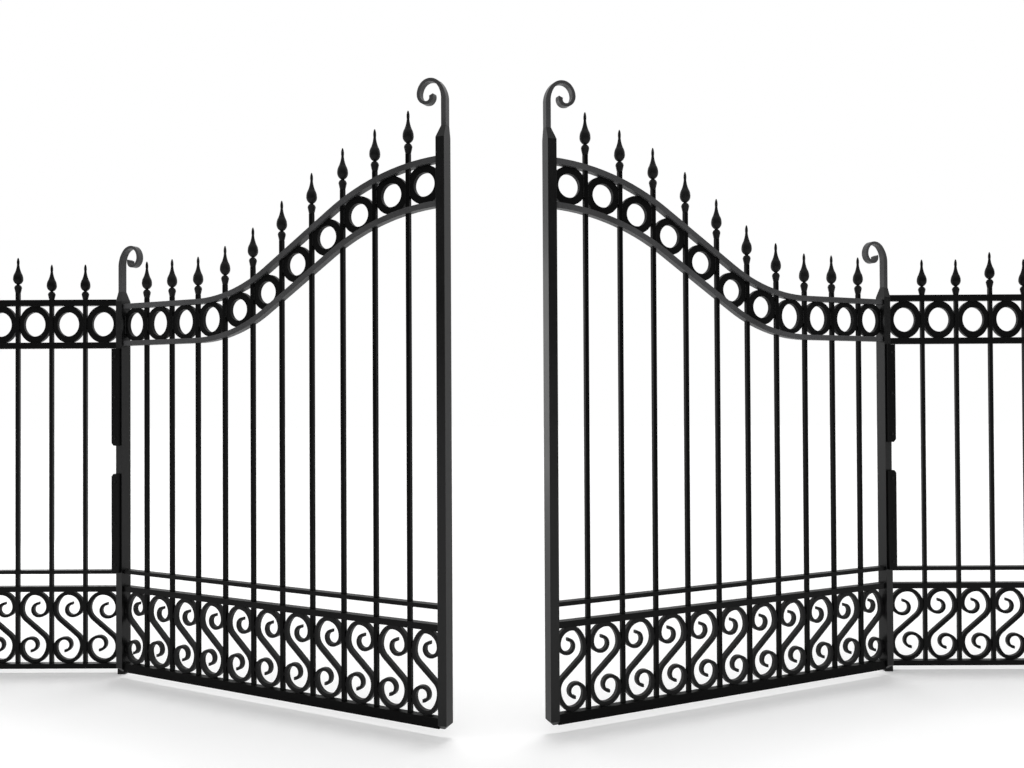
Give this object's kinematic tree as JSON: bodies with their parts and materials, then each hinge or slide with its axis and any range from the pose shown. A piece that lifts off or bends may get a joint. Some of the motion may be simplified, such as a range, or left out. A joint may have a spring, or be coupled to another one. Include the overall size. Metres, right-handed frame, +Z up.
{
  "type": "double driveway gate",
  "caption": "Black wrought iron double driveway gate with swept leaves, ring bands, scroll panels and spear tops, between two hinge posts with matching fence panels.",
  "frame": {"origin": "middle of the left hinge post's foot, on the ground", "axes": "+X along the gate line from the left post to the right post, -Y towards the road, +Z up"},
  "size_m": [5.407, 0.8441, 2.424],
  "materials": {
    "black_iron": "satin black paint on forged iron"
  },
  "bodies": {
    "posts_and_fence": {"left_end_post": "black_iron", "left_fence_panel": "black_iron", "left_hinge_hooks": "black_iron", "left_hinge_post": "black_iron", "right_end_post": "black_iron", "right_fence_panel": "black_iron", "right_hinge_hooks": "black_iron", "right_hinge_post": "black_iron"},
    "left_leaf": {"left_band_lower_bar": "black_iron", "left_band_upper_bar": "black_iron", "left_bottom_rail": "black_iron", "left_cover_strips": "black_iron", "left_hinge_crook": "black_iron", "left_hinge_eyes": "black_iron", "left_hinge_stile": "black_iron", "left_lower_rail": "black_iron", "left_meeting_crook": "black_iron", "left_meeting_stile": "black_iron", "left_pickets": "black_iron", "left_rings": "black_iron", "left_scrolls": "black_iron", "left_spears": "black_iron", "left_thin_rail": "black_iron"},
    "right_leaf": {"right_band_lower_bar": "black_iron", "right_band_upper_bar": "black_iron", "right_bottom_rail": "black_iron", "right_cover_strips": "black_iron", "right_hinge_crook": "black_iron", "right_hinge_eyes": "black_iron", "right_hinge_stile": "black_iron", "right_lower_rail": "black_iron", "right_meeting_crook": "black_iron", "right_meeting_stile": "black_iron", "right_pickets": "black_iron", "right_rings": "black_iron", "right_scrolls": "black_iron", "right_spears": "black_iron", "right_thin_rail": "black_iron"}
  },
  "joints": [
    {"name": "left_hinge", "type": "hinge", "parent": "posts_and_fence", "child": "left_leaf", "pos_m": [0.037, -0.038, 0.3], "axis": [0, 0, 1], "range_deg": [-64.5, 25.5]},
    {"name": "right_hinge", "type": "hinge", "parent": "posts_and_fence", "child": "right_leaf", "pos_m": [3.42, -0.038, 0.3], "axis": [0, 0, 1], "range_deg": [-24.1, 65.9]}
  ]
}
